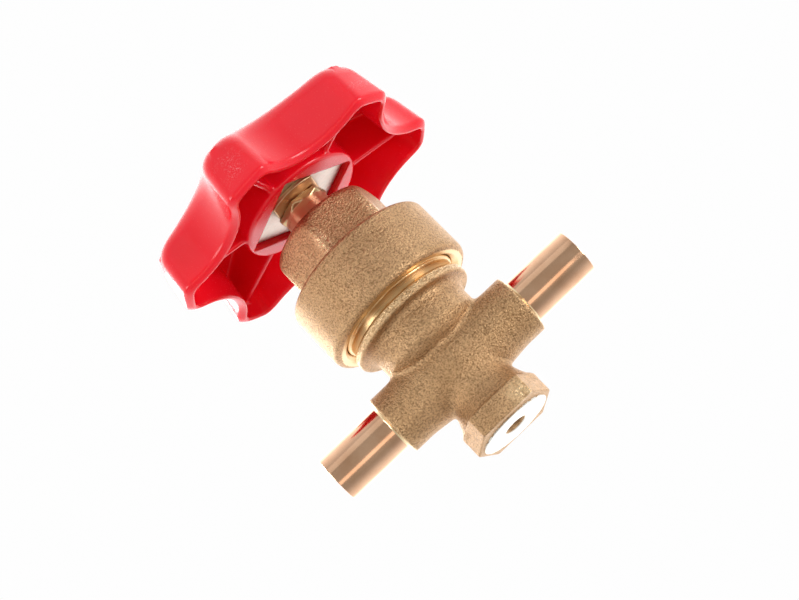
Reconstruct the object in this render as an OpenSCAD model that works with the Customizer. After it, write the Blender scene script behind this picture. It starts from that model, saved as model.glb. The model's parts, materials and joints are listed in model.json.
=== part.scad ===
// Packless diaphragm shut-off valve with a lobed handwheel.
// The origin is the middle of the mounting foot's face. +Z runs up the stem and X along the ports.
// The valve is drawn fully open.

/* [Ports] */
// Height of the port axis above the foot's face
port_z = 20; // [19.5:0.1:21]
// Outside diameter of the stub tubes
tube_d = 12; // [11.8:0.05:12.2]
// Length over both tube ends
tube_span = 77.2; // [72:0.2:90]
// Bore of the solder socket in each tube
socket_d = 10.1; // [10.0:0.02:10.3]
// Depth of the solder socket
socket_depth = 10; // [8:0.5:12]
// Bore of the tubes behind the socket
tube_bore = 9.2; // [8.6:0.1:9.4]
// How far a tube goes into its arm
tube_insert = 8.5; // [6:0.5:9]

/* [Body] */
// Outside diameter of the two arms
arm_d = 16; // [15.6:0.1:16.6]
// Length over the two arm ends
arm_span = 41.4; // [40:0.2:44]
// Thickness of the foot
foot_t = 6; // [5:0.1:6.5]
// Foot size along the ports, corner to corner
foot_x = 22.6; // [21:0.2:24]
// Foot size across the ports
foot_y = 24.2; // [22:0.2:26]
// Diameter of the machined pad on the foot's face
pad_d = 19; // [17:0.5:20]
// Outside diameter of the neck
neck_d = 27.4; // [27:0.1:28]
// Outside diameter of the collar under the bonnet
collar_d = 33.6; // [33.2:0.1:34.4]
// Height of the collar's top face
collar_top = 37.1; // [36.8:0.1:37.4]
// Major diameter of the thread that carries the bonnet
barrel_d = 32.6; // [32.2:0.1:32.8]
// Height of the rim that clamps the diaphragms
rim_z = 47; // [46.8:0.1:47.2]

/* [Bonnet] */
// Outside diameter of the bonnet's round skirt
skirt_d = 40.6; // [40:0.1:42]
// Height of the skirt's lower lip
skirt_bottom = 39.1; // [38.6:0.1:39.6]
// Height of the skirt's top face
skirt_top = 55.1; // [54.8:0.1:56]
// Width across flats of the bonnet's hexagon
hex_af = 27; // [26:0.5:28]
// Height of the hexagon's top face
hex_top = 68.5; // [68:0.1:69]

/* [Stem] */
// Diameter of the polished neck
stem_neck_d = 12.4; // [12.2:0.05:12.6]
// Major diameter of the stem's thread
stem_thread_d = 11; // [10.8:0.05:11.2]
// Pitch of the stem's thread
stem_pitch = 1.5; // [1.25:0.25:1.75]
// Width across flats of the stem's hexagon
stem_af = 12.4; // [12:0.2:12.8]
// Radial clearance between the stem and the bonnet
stem_play = 0.08; // [0.04:0.01:0.1]
// Width across flats of the square that drives the plate
square_af = 7.9; // [7.6:0.1:8]

/* [Handwheel] */
// Radius at the tips of the lobes
lobe_tip_r = 38.2; // [37.6:0.2:38.6]
// Distance from the axis to the deepest point of each scallop
valley_r = 29.5; // [29:0.1:30]
// Radius of the scallops between the lobes
scallop_r = 17; // [16:0.5:18]
// Wall thickness of the wheel
wheel_wall = 2.2; // [1.8:0.1:2.6]
// Height of the wheel's lower rim
wheel_bottom = 71.8; // [71.4:0.1:72.2]
// Height of the wheel's top edge at the lobes
wheel_edge = 87.4; // [87:0.1:88]
// Angle of the first lobe from the port axis
wheel_phase = 18.5; // [0:0.5:60]
// Side of the square drive plate
plate_side = 22.3; // [21.5:0.1:22.5]
// Thickness of the drive plate
plate_t = 2; // [1.5:0.1:2.2]

/* [Seat and plug] */
// Bore of the seat nozzle
seat_bore = 8.6; // [8:0.1:9]
// Height of the seat's edge
seat_z = 33; // [32.8:0.1:33.2]
// Lift of the plug when fully open
lift = 2.25; // [2:0.05:2.5]
// Bore of the chamber around the seat
chamber_d = 20.6; // [20:0.1:21]

/* [Hidden] */
$fn = 96;
eps = 0.01;

// Port sizes
tube_r = tube_d / 2;
tube_end = tube_span / 2;
arm_r = arm_d / 2;
arm_end = arm_span / 2;
tube_inner_end = arm_end - tube_insert;
tube_fit = 0.05;
braze_r = tube_r + 0.9;
braze_len = 0.7;

// Body heights and radii
pad_t = 0.4;
waist_r = 9;
waist_z = 9.2;
waist_fillet = 3.2;
belly_z = 22.5;
belly_r = 9.4;
neck_r = neck_d / 2;
neck_z = 28.5;
collar_r = collar_d / 2;
collar_bottom = 34.4;
collar_fillet = 2.4;
barrel_r = barrel_d / 2;
undercut_r = barrel_r - 0.8;
undercut_top = collar_top + 2.4;
chamber_r = chamber_d / 2;
chamber_floor = 29.5;
mouth_r = 12;
mouth_z = 42;
tap_r = 2.5;
tap_depth = 8;

// Flow passages
seat_r = seat_bore / 2;
nozzle_r = 6.3;
passage_r = 4.5;
drain_r = 1.7;
drain_ring_r = 8.3;
drain_angles = [-24, 0, 24];
outlet_start = 6.4;

// Diaphragm pack
disc_t = 0.3;
disc_gap = 0.02;
disc_r = 15.6;
dome_h = 2.6;
dome_flat_r = 5;
dome_foot_r = 11.6;
pack_top = rim_z + 3 * disc_t;
slip_t = 1.5;

// Bonnet inside
skirt_r = skirt_d / 2;
edge_r = 1.4;
bonnet_play = 0.15;
shoulder_z = pack_top + slip_t;
cavity_top = 55;
gland_z = 63;
gland_r = stem_neck_d / 2 + stem_play;
screw_bore_r = stem_thread_d / 2 + stem_play;
hex_r = hex_af / sqrt(3);
hex_turn = -12;

// Stem, plate and wheel fixings
neck_low = gland_z + lift + 0.15;
nose_r = 4;
nose_z = 55.95;
nose_top = 56.8;
seal_z = 67.1;
seal_wire = 1.2;
seal_r = gland_r - 0.03 - seal_wire / 2;
stem_hex_low = 74.4;
flange_low = 76.3;
flange_edge_r = 10.6;
plate_z = 77.5;
spigot_r = 4;
stem_top = 81;
screw_r = 2.5;
thread_deep = 7;
washer_r = 6;
washer_t = 0.8;
head_r = 4.2;
head_t = 2.1;
socket_r = 1.75;

// Wheel
lobes = 6;
scallop_c = valley_r + scallop_r;
wheel_draft = 0.12;
edge_r_top = lobe_tip_r - wheel_draft * (wheel_edge - wheel_bottom);
dome_r = 134;
dome_c = wheel_edge - sqrt(pow(dome_r, 2) - pow(edge_r_top, 2));
web_t = 2.4;
hub_bottom = 76;
hub_r = 16.9;
pocket = plate_side + 0.5;
hub_h = wheel_edge - hub_bottom + 3;
rib_t = 1.6;
rib_bottom = 77;
rib_h = 14;
recess_r = 7.5;
recess_z = 81.5;
cap_r = 9;
cap_top = dome_c + dome_r - 0.1;
cap_z = cap_top - 1.7;
cap_play = 0.1;

// Thrust pad
pad_bottom = pack_top + dome_h + 0.1;
pad_top = 53.3;
thrust_r = 8;

// Plug
disc_low = seat_z + lift + 0.05;
seat_disc_t = 2;
seat_disc_r = 6;
holder_r = 7.2;
flange_r = 9.9;
flange_z = 38;
flange_t = 1.6;
shank_r = 5;
plug_top = rim_z + dome_h - 0.1;
rivet_r = 1.5;
rivet_head_r = 2.9;

// Spring
wire_r = 0.55;
coil_r = 8.3;
turns = 4.5;
steps_per_turn = 20;
wire_sides = 8;

// A hexagon by its width across flats, with a corner near -Y
module hexagon(across) {
    rotate(30 + hex_turn)
        circle(r = across / sqrt(3), $fn = 6);
}

// One quarter arc in a profile, as a list of points
function arc(cx, cy, r, a0, a1, n = 10) =
    [for (i = [0 : n]) let (a = a0 + (a1 - a0) * i / n) [cx + r * cos(a), cy + r * sin(a)]];

// Half of the body's turned outline, from the foot to the barrel's rim
body_profile = concat(
    [[0, pad_t], [foot_x / 2 - 1, pad_t], [foot_x / 2 - 0.8, foot_t]],
    arc(waist_r + waist_fillet, waist_z, waist_fillet, 235, 180),
    [[belly_r, belly_z]],
    arc(neck_r - 5, neck_z, 5, 300, 360),
    arc(neck_r + collar_fillet, collar_bottom - collar_fillet, collar_fillet, 180, 90),
    arc(collar_r - 1.2, collar_bottom + 1.2, 1.2, 270, 360),
    arc(collar_r - 0.6, collar_top - 0.6, 0.6, 0, 90),
    [[undercut_r, collar_top], [undercut_r, undercut_top], [barrel_r - 0.5, undercut_top],
     [barrel_r, undercut_top + 0.5], [barrel_r, rim_z - 0.6], [barrel_r - 0.6, rim_z], [0, rim_z]]
);

// The foot's six-sided outline
module foot_outline() {
    shoulder_x = foot_x * 0.323;
    polygon([
        [shoulder_x, -foot_y / 2], [foot_x / 2, 0], [shoulder_x, foot_y / 2],
        [-shoulder_x, foot_y / 2], [-foot_x / 2, 0], [-shoulder_x, -foot_y / 2]
    ]);
}

// A plain cylinder along X from one place to another
module along_x(x0, x1, r) {
    translate([x0, 0, port_z])
        rotate([0, 90, 0])
            cylinder(r = r, h = x1 - x0);
}

// Outside of the forging
module body_outside() {
    translate([0, 0, pad_t])
        linear_extrude(foot_t - pad_t)
            foot_outline();
    cylinder(d = pad_d, h = pad_t + eps);
    rotate_extrude()
        polygon(body_profile);
    along_x(-arm_end, arm_end, arm_r);
    for (side = [0, 1])
        mirror([side, 0, 0])
            translate([0, 0, port_z])
                rotate([0, 90, 0])
                    cylinder(r1 = arm_r + 2.4, r2 = arm_r, h = arm_end - 5);
}

// Forged brass body with its flow passages and chamber
module valve_body() {
    color("#b9935f")
    difference() {
        body_outside();
        // Sockets for the two tubes
        along_x(-arm_end - 1, -tube_inner_end, tube_r + tube_fit);
        along_x(tube_inner_end, arm_end + 1, tube_r + tube_fit);
        // Inlet passage, turning up into the seat nozzle
        along_x(-tube_inner_end - 1, 0, passage_r);
        translate([0, 0, port_z])
            cylinder(r = seat_r, h = rim_z - port_z + 1);
        // Outlet passage, fed through the drain holes in the chamber's floor
        along_x(outlet_start, tube_inner_end + 1, passage_r);
        for (a = drain_angles)
            rotate(a)
                translate([drain_ring_r, 0, port_z])
                    cylinder(r = drain_r, h = chamber_floor - port_z + 1, $fn = 48);
        // Chamber around the nozzle
        difference() {
            translate([0, 0, chamber_floor])
                cylinder(r = chamber_r, h = rim_z - chamber_floor + 1);
            translate([0, 0, chamber_floor - 1])
                cylinder(r = nozzle_r, h = seat_z - chamber_floor + 1);
        }
        translate([0, 0, mouth_z])
            cylinder(r = mouth_r, h = rim_z - mouth_z + 1);
        // Tapped mounting hole in the foot
        translate([0, 0, -1])
            cylinder(r = tap_r, h = tap_depth + 1, $fn = 64);
    }
}

// Copper stub tube on the +X side, with its solder socket
module stub_tube() {
    difference() {
        along_x(tube_inner_end, tube_end, tube_r);
        along_x(tube_inner_end - 1, tube_end + 1, tube_bore / 2);
        along_x(tube_end - socket_depth, tube_end + 1, socket_d / 2);
    }
}

module inlet_tube() {
    color("#c08a63")
    mirror([1, 0, 0])
        stub_tube();
}

module outlet_tube() {
    color("#c08a63")
    stub_tube();
}

// Fillet of braze around the tube, on the arm's end face
module braze_ring() {
    translate([arm_end, 0, port_z])
        rotate([0, 90, 0])
            rotate_extrude()
                polygon([[tube_r, 0], [braze_r, 0], [tube_r + 0.25, 0.25], [tube_r, braze_len]]);
}

module inlet_braze_ring() {
    color("#e6c98f")
    mirror([1, 0, 0])
        braze_ring();
}

module outlet_braze_ring() {
    color("#e6c98f")
    braze_ring();
}

// Forged brass bonnet: round skirt, hexagon, thread bore and stem bore
module bonnet() {
    skirt_bore = barrel_r + bonnet_play;
    lip = 1.2;
    outline = concat(
        [[0, skirt_bottom], [skirt_bore, skirt_bottom]],
        arc(skirt_r - edge_r, skirt_bottom + edge_r, edge_r, 270, 360),
        arc(skirt_r - edge_r, skirt_top - edge_r, edge_r, 0, 90),
        [[0, skirt_top]]
    );
    crown = concat(
        [[0, skirt_top - 1], [hex_r + 1, skirt_top - 1], [hex_r + 0.4, hex_top - 3.5]],
        arc(hex_af / 2 - 2, hex_top - 3, 3, 35, 90),
        [[0, hex_top]]
    );
    color("#b58a58")
    difference() {
        union() {
            rotate_extrude()
                polygon(outline);
            intersection() {
                translate([0, 0, skirt_top - 1])
                    linear_extrude(hex_top - skirt_top + 1)
                        hexagon(hex_af);
                rotate_extrude()
                    polygon(crown);
            }
        }
        translate([0, 0, skirt_bottom - 1])
            cylinder(r = skirt_bore, h = shoulder_z - skirt_bottom + 1);
        // Chamfer inside the lower lip
        translate([0, 0, skirt_bottom - eps])
            cylinder(r1 = skirt_bore + lip, r2 = skirt_bore, h = lip);
        // Room for the thrust pad
        translate([0, 0, shoulder_z - 1])
            cylinder(r = mouth_r + 0.2, h = cavity_top - shoulder_z + 1);
        // Stem thread bore, then the smooth bore for the neck
        cylinder(r = screw_bore_r, h = gland_z + 1);
        translate([0, 0, gland_z])
            cylinder(r = gland_r, h = hex_top - gland_z + 1);
    }
}

// Flat steel ring between the bonnet's shoulder and the diaphragms
module slip_ring() {
    color("#9da0a4")
    translate([0, 0, pack_top])
        difference() {
            cylinder(r = disc_r, h = slip_t);
            translate([0, 0, -1])
                cylinder(r = mouth_r, h = slip_t + 2);
        }
}

// Thin steel disc with a flat clamped rim and a raised middle
module diaphragm(level) {
    low = rim_z + level * disc_t;
    high = disc_t - disc_gap;
    translate([0, 0, low])
        rotate_extrude()
            polygon([
                [0, dome_h], [dome_flat_r, dome_h], [dome_foot_r, 0], [disc_r, 0],
                [disc_r, high], [dome_foot_r, high], [dome_flat_r, dome_h + high], [0, dome_h + high]
            ]);
}

module diaphragm_lower() {
    color("#c3c6ca")
    diaphragm(0);
}

module diaphragm_middle() {
    color("#c3c6ca")
    diaphragm(1);
}

module diaphragm_upper() {
    color("#c3c6ca")
    diaphragm(2);
}

// Round wire swept along a helix, with closed ends
module return_spring() {
    z0 = chamber_floor + wire_r;
    rise = flange_z - chamber_floor - 2 * wire_r;
    last = turns * steps_per_turn;
    points = [
        for (i = [0 : last])
            let (a = 360 * i / steps_per_turn, z = z0 + rise * i / last)
                for (j = [0 : wire_sides - 1])
                    let (b = 360 * j / wire_sides, r = coil_r + wire_r * cos(b))
                        [r * cos(a), r * sin(a), z + wire_r * sin(b)]
    ];
    sides = [
        for (i = [0 : last - 1])
            for (j = [0 : wire_sides - 1])
                let (k = (j + 1) % wire_sides, p = i * wire_sides, q = p + wire_sides)
                    [p + j, q + j, q + k, p + k]
    ];
    start_cap = [[for (j = [0 : wire_sides - 1]) j]];
    end_cap = [[for (j = [wire_sides - 1 : -1 : 0]) last * wire_sides + j]];
    color("#8f9296")
    polyhedron(points, concat(sides, start_cap, end_cap), convexity = 6);
}

// Button that carries the stem's push onto the diaphragms
module thrust_pad() {
    socket_r = nose_r + 0.05;
    color("#a98552")
    difference() {
        rotate_extrude()
            polygon(concat(
                [[0, pad_bottom], [dome_flat_r, pad_bottom]],
                [[thrust_r, pad_bottom + 0.9], [thrust_r, pad_top - 0.8]],
                arc(thrust_r - 0.8, pad_top - 0.8, 0.8, 0, 90),
                [[0, pad_top]]
            ));
        translate([0, 0, nose_z])
            sphere(r = socket_r);
    }
}

// Stem: round nose, thread, polished neck, hexagon, drive square and spigot
module stem() {
    thread_r = stem_thread_d / 2;
    root_r = thread_r - 0.7;
    neck_r = stem_neck_d / 2;
    rings = floor((neck_low - nose_top - 1) / stem_pitch);
    color("#b9854f")
    difference() {
        union() {
            translate([0, 0, nose_z])
                sphere(r = nose_r);
            translate([0, 0, nose_z])
                cylinder(r = nose_r, h = 1);
            translate([0, 0, nose_top])
                cylinder(r = root_r, h = neck_low - nose_top + 1);
            // Thread as a row of rings
            for (i = [0 : rings - 1])
                translate([0, 0, nose_top + 0.3 + i * stem_pitch])
                    rotate_extrude()
                        polygon([
                            [0, 0], [root_r, 0], [thread_r, 0.55],
                            [thread_r, 0.85], [root_r, 1.4], [0, 1.4]
                        ]);
            translate([0, 0, neck_low])
                cylinder(r = neck_r, h = stem_hex_low - neck_low + 0.5);
            intersection() {
                translate([0, 0, stem_hex_low])
                    linear_extrude(flange_low - stem_hex_low + 0.5)
                        hexagon(stem_af);
                translate([0, 0, stem_hex_low])
                    cylinder(r1 = neck_r, r2 = neck_r + 6, h = 6);
            }
            // Shoulder under the plate, with two flats as wide as the hexagon
            intersection() {
                translate([0, 0, flange_low])
                    cylinder(r = flange_edge_r, h = plate_z - flange_low);
                translate([-stem_af / 2, -flange_edge_r, flange_low - 1])
                    cube([stem_af, 2 * flange_edge_r, 4]);
            }
            translate([-square_af / 2, -square_af / 2, plate_z - 0.5])
                cube([square_af, square_af, plate_t + 0.4]);
            translate([0, 0, plate_z])
                cylinder(r = spigot_r - 0.05, h = stem_top - plate_z);
        }
        // Groove for the seal
        translate([0, 0, seal_z - seal_wire * 0.6])
            difference() {
                cylinder(r = neck_r + 1, h = seal_wire * 1.2);
                translate([0, 0, -1])
                    cylinder(r = seal_r - seal_wire / 2 - 0.03, h = seal_wire + 3);
            }
        // Threaded hole for the wheel screw
        translate([0, 0, stem_top - thread_deep - 1])
            cylinder(r = screw_r + 0.02, h = thread_deep + 2, $fn = 48);
    }
}

// Rubber ring in the stem's neck groove
module stem_seal() {
    color("#2b2b2d")
    translate([0, 0, seal_z])
        rotate_extrude()
            translate([seal_r, 0])
                circle(d = seal_wire, $fn = 32);
}

// Zinc-plated square plate between the stem's square and the wheel's hub
module drive_plate() {
    hole = square_af + 0.1;
    color("#d9d3c8")
    difference() {
        rotate(45)
            translate([-plate_side / 2, -plate_side / 2, plate_z])
                cube([plate_side, plate_side, plate_t]);
        translate([-hole / 2, -hole / 2, plate_z - 1])
            cube([hole, hole, plate_t + 2]);
    }
}

// Lobed block drawn in by the same distance all round, narrower upwards, under a shallow dome
module lobed_block(inset, low, dome_radius) {
    height = 22;
    shrink = wheel_draft * height;
    translate([0, 0, low])
        difference() {
            intersection() {
                cylinder(r1 = lobe_tip_r - inset, r2 = lobe_tip_r - inset - shrink, h = height);
                translate([0, 0, dome_c - low])
                    sphere(r = dome_radius);
            }
            for (i = [0 : lobes - 1])
                rotate(wheel_phase + 30 + i * 360 / lobes)
                    translate([scallop_c, 0, 0])
                        cylinder(r1 = scallop_r + inset, r2 = scallop_r + inset + shrink, h = height);
        }
}

// Red lobed cup with a hub, ribs, a pocket for the plate and a recess for the screw
module handwheel() {
    color("#dd1f2c")
    difference() {
        union() {
            difference() {
                lobed_block(0, wheel_bottom, dome_r);
                lobed_block(wheel_wall, wheel_bottom - eps, dome_r - web_t);
            }
            translate([0, 0, hub_bottom])
                cylinder(r = hub_r, h = hub_h);
            // Ribs from the hub to the lobes, up to the domed web
            intersection() {
                for (i = [0 : lobes - 1])
                    rotate(wheel_phase + i * 360 / lobes)
                        translate([hub_r - 1, -rib_t / 2, rib_bottom])
                            cube([edge_r_top - hub_r + 0.6, rib_t, rib_h]);
                translate([0, 0, dome_c])
                    sphere(r = dome_r - web_t / 2);
            }
        }
        rotate(45)
            translate([-pocket / 2, -pocket / 2, hub_bottom - 1])
                cube([pocket, pocket, plate_z + plate_t + 0.05 - hub_bottom + 1]);
        translate([0, 0, plate_z])
            cylinder(r = spigot_r + 0.1, h = 6);
        translate([0, 0, recess_z])
            cylinder(r = recess_r, h = 20);
        translate([0, 0, cap_z])
            cylinder(r = cap_r + cap_play, h = 10);
    }
}

// Steel washer in the wheel's recess
module wheel_washer() {
    color("#b4b7ba")
    translate([0, 0, recess_z])
        difference() {
            cylinder(r = washer_r, h = washer_t);
            translate([0, 0, -1])
                cylinder(r = screw_r + 0.2, h = 3);
        }
}

// Button-head screw with a hexagon socket
module wheel_screw() {
    head_z = recess_z + washer_t;
    low = stem_top - thread_deep + 0.5;
    shank_r = screw_r - 0.05;
    color("#a7aaad")
    difference() {
        rotate_extrude()
            polygon([
                [0, low], [shank_r - 0.4, low], [shank_r, low + 0.4], [shank_r, head_z], [head_r, head_z],
                [head_r, head_z + 0.9], [head_r - 1, head_z + head_t], [0, head_z + head_t]
            ]);
        translate([0, 0, head_z + 0.8])
            cylinder(r = socket_r, h = 3, $fn = 6);
    }
}

// Thin disc that snaps into the wheel over the screw
module wheel_cap() {
    edge_z = dome_c + sqrt(pow(dome_r, 2) - pow(cap_r, 2)) - 0.1;
    color("#c81824")
    rotate_extrude()
        polygon([
            [0, cap_z], [cap_r, cap_z], [cap_r, edge_z - 0.3],
            [cap_r - 0.3, edge_z], [0, cap_top]
        ]);
}

// Brass plug: holder for the disc, spring flange and shank up to the diaphragms
module valve_plug() {
    holder_low = disc_low + 0.4;
    color("#b08a55")
    difference() {
        union() {
            translate([0, 0, holder_low])
                cylinder(r = holder_r, h = flange_z - holder_low + 0.5);
            translate([0, 0, flange_z])
                cylinder(r = flange_r, h = flange_t);
            rotate_extrude()
                polygon(concat(
                    [[0, flange_z], [shank_r, flange_z]],
                    arc(shank_r - 1.2, plug_top - 1.2, 1.2, 0, 90),
                    [[0, plug_top]]
                ));
        }
        // Pocket for the seat disc and hole for its rivet
        translate([0, 0, holder_low - 1])
            cylinder(r = seat_disc_r + 0.02, h = disc_low + seat_disc_t - holder_low + 1);
        translate([0, 0, holder_low])
            cylinder(r = rivet_r + 0.02, h = 6, $fn = 32);
        // Flats on the flange that let the gas pass
        for (a = [0 : 120 : 240])
            rotate(a)
                translate([flange_r - 1, -4, flange_z - 1])
                    cube([4, 8, flange_t + 2]);
    }
}

// Nylon disc that closes on the seat
module seat_disc() {
    color("#efe9d8")
    translate([0, 0, disc_low])
        difference() {
            cylinder(r = seat_disc_r, h = seat_disc_t);
            translate([0, 0, -1])
                cylinder(r = rivet_r + 0.02, h = seat_disc_t + 2, $fn = 32);
        }
}

// Brass rivet with a wide head that holds the seat disc
module disc_retainer() {
    color("#c19a62")
    union() {
        translate([0, 0, disc_low - 0.8])
            cylinder(r1 = rivet_head_r - 0.4, r2 = rivet_head_r, h = 0.8);
        translate([0, 0, disc_low - eps])
            cylinder(r = rivet_r, h = 5, $fn = 32);
    }
}

valve_body();
inlet_tube();
outlet_tube();
inlet_braze_ring();
outlet_braze_ring();
bonnet();
slip_ring();
diaphragm_lower();
diaphragm_middle();
diaphragm_upper();
return_spring();
thrust_pad();
stem();
stem_seal();
drive_plate();
handwheel();
wheel_washer();
wheel_screw();
wheel_cap();
valve_plug();
seat_disc();
disc_retainer();
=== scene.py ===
"""Looks of the packless shut-off valve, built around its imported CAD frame.

Forged and moulded parts are drawn as distance fields in millimetres, meshed, and pulled onto the
exact surface. Turned parts are lathed. Places come from the frame's boxes where those give them.
"""
import json
import math

import bmesh
import bpy
import numpy as np
import openvdb
from mathutils import Matrix, Vector

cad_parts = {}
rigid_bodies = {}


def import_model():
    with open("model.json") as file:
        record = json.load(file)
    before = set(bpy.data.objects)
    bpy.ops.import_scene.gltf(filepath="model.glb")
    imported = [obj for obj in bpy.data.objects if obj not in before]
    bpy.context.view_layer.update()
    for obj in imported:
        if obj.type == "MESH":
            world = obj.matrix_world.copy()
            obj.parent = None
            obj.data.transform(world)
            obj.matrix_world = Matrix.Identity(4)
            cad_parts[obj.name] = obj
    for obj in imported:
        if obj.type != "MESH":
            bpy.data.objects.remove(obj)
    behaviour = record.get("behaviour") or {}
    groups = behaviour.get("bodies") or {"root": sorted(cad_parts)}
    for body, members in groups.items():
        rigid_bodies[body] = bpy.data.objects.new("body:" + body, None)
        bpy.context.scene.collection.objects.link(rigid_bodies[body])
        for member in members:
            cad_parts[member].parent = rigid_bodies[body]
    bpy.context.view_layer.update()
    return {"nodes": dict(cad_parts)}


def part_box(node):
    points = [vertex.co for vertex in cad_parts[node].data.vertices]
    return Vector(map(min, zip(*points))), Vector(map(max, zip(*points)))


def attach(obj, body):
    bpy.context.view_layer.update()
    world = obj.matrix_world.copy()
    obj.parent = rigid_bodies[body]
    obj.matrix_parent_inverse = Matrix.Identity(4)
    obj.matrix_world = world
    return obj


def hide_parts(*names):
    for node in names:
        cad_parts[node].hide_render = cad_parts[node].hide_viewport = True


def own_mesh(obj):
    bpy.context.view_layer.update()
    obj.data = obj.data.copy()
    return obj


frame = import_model()
MM = 0.001
COS_45 = 0.7071


# ---------------------------------------------------------------- sizes, from the frame (mm)

def node_box(node):
    """Lowest and highest corner of a CAD node, in millimetres."""
    low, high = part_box(node)
    return np.array(low) / MM, np.array(high) / MM


BODY_LOW, BODY_HIGH = node_box("valve_body")
BONNET_LOW, BONNET_HIGH = node_box("bonnet")
TUBE_LOW, TUBE_HIGH = node_box("outlet_tube")
WHEEL_LOW, WHEEL_HIGH = node_box("handwheel")
STEM_LOW, STEM_HIGH = node_box("stem")
PLATE_LOW, PLATE_HIGH = node_box("drive_plate")
CAP_LOW, CAP_HIGH = node_box("wheel_cap")
WASHER_LOW = node_box("wheel_washer")[0]
SPRING_LOW, SPRING_HIGH = node_box("return_spring")

PORT_Z = (TUBE_LOW[2] + TUBE_HIGH[2]) / 2
TUBE_R = (TUBE_HIGH[2] - TUBE_LOW[2]) / 2
ARM_END = BODY_HIGH[0]
ARM_R = 8.0
RIM_Z = BODY_HIGH[2]
SKIRT_R = BONNET_HIGH[0]
SKIRT_TOP = 55.1
HEX_TOP = BONNET_HIGH[2]
HEX_TURN = math.radians(-12)


# ---------------------------------------------------------------- distance fields (mm)

def blend(a, b, k):
    """Union of two distances with a fillet of about k."""
    h = np.maximum(k - np.abs(a - b), 0.0) / k
    return np.minimum(a, b) - h * h * k * 0.25


def slab(v, low, high):
    return np.maximum(low - v, v - high)


def box_2d(x, y, half_x, half_y, r):
    """Rectangle with rounded corners."""
    qx = np.abs(x) - half_x + r
    qy = np.abs(y) - half_y + r
    outside = np.hypot(np.maximum(qx, 0), np.maximum(qy, 0))
    return outside + np.minimum(np.maximum(qx, qy), 0) - r


def polygon_2d(x, y, points, r):
    """Convex polygon, counter-clockwise, with its corners rounded by about r."""
    d = None
    for (x0, y0), (x1, y1) in zip(points, points[1:] + points[:1]):
        length = math.hypot(x1 - x0, y1 - y0)
        side = ((x - x0) * (y1 - y0) + (y - y0) * (x0 - x1)) / length
        d = side if d is None else blend_max(d, side, r)
    return d


def blend_max(a, b, k):
    """Intersection of two distances with the edge rounded by about k."""
    return -blend(-a, -b, k)


def extrude(d2, z, low, high, r):
    """A flat outline between two heights, with edges rounded by r."""
    dz = np.abs(z - (low + high) / 2) - (high - low) / 2 + r
    d = d2 + r
    outside = np.hypot(np.maximum(d, 0), np.maximum(dz, 0))
    return outside + np.minimum(np.maximum(d, dz), 0) - r


def hexagon_2d(x, y, across, r):
    """Hexagon with a corner near -Y and rounded corners."""
    d = None
    for i in range(3):
        a = math.radians(60 * i) + HEX_TURN
        face = np.abs(x * math.cos(a) + y * math.sin(a)) - across / 2
        d = face if d is None else blend_max(d, face, r)
    return d


# ---------------------------------------------------------------- meshes

def link(name, mesh):
    obj = bpy.data.objects.new(name, mesh)
    bpy.context.scene.collection.objects.link(obj)
    return obj


def field_mesh(name, field, low, high, step):
    """Meshes field(x, y, z) = 0 inside a box and pulls the points onto the exact surface."""
    low = np.array(low, dtype=np.float64) - 3 * step
    high = np.array(high, dtype=np.float64) + 3 * step
    axes = [np.arange(low[i], high[i] + step, step, dtype=np.float32) for i in range(3)]
    values = field(axes[0][:, None, None], axes[1][None, :, None], axes[2][None, None, :])
    values = np.clip(values, -4 * step, 4 * step).astype(np.float32)
    grid = openvdb.FloatGrid(background=4 * step)
    grid.copyFromArray(values)
    points, quads = grid.convertToQuads(isovalue=0.0)
    points = points.astype(np.float64) * step + low
    e = step * 0.1
    for _ in range(3):
        x, y, z = points.T
        d = field(x, y, z)
        g = np.stack([
            field(x + e, y, z) - field(x - e, y, z),
            field(x, y + e, z) - field(x, y - e, z),
            field(x, y, z + e) - field(x, y, z - e),
        ], axis=1) / (2 * e)
        move = (d / np.maximum((g * g).sum(axis=1), 0.2))[:, None] * g
        points -= np.clip(move, -step * 0.6, step * 0.6)
    return quad_mesh(name, points, quads)


def quad_mesh(name, points, quads):
    """A smooth mesh object from points in millimetres, with its faces turned outwards."""
    mesh = bpy.data.meshes.new(name)
    quads = np.asarray(quads)
    a, b, c, d = (points[quads[:, i]] for i in range(4))
    volume = (a * np.cross(b, c)).sum() + (a * np.cross(c, d)).sum()
    if volume < 0:
        quads = quads[:, ::-1]
    mesh.from_pydata((points * MM).tolist(), [], quads.tolist())
    mesh.update()
    mesh.polygons.foreach_set("use_smooth", [True] * len(mesh.polygons))
    return link(name, mesh)


def lathe(name, profile, steps=160, axis="Z", sharp=math.radians(35)):
    """Turns a closed list of (radius, height) points in millimetres round an axis."""
    bm = bmesh.new()
    rings = []
    for radius, height in profile:
        if radius < 1e-6:
            rings.append([bm.verts.new((0, 0, height * MM))])
            continue
        ring = []
        for i in range(steps):
            a = 2 * math.pi * i / steps
            ring.append(bm.verts.new((radius * math.cos(a) * MM, radius * math.sin(a) * MM, height * MM)))
        rings.append(ring)
    for lower, upper in zip(rings, rings[1:] + rings[:1]):
        if len(lower) == 1 and len(upper) == 1:
            continue
        for i in range(steps):
            j = (i + 1) % steps
            if len(lower) == 1:
                bm.faces.new((lower[0], upper[j], upper[i]))
            elif len(upper) == 1:
                bm.faces.new((lower[i], lower[j], upper[0]))
            else:
                bm.faces.new((lower[i], lower[j], upper[j], upper[i]))
    bmesh.ops.recalc_face_normals(bm, faces=bm.faces)
    mesh = bpy.data.meshes.new(name)
    bm.to_mesh(mesh)
    bm.free()
    if axis == "X":
        mesh.transform(Matrix.Rotation(math.pi / 2, 4, "Y"))
    obj = link(name, mesh)
    smooth_by_angle(obj, sharp)
    return obj


def smooth_by_angle(obj, angle):
    obj.data.polygons.foreach_set("use_smooth", [True] * len(obj.data.polygons))
    obj.data.set_sharp_from_angle(angle=angle)


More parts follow.
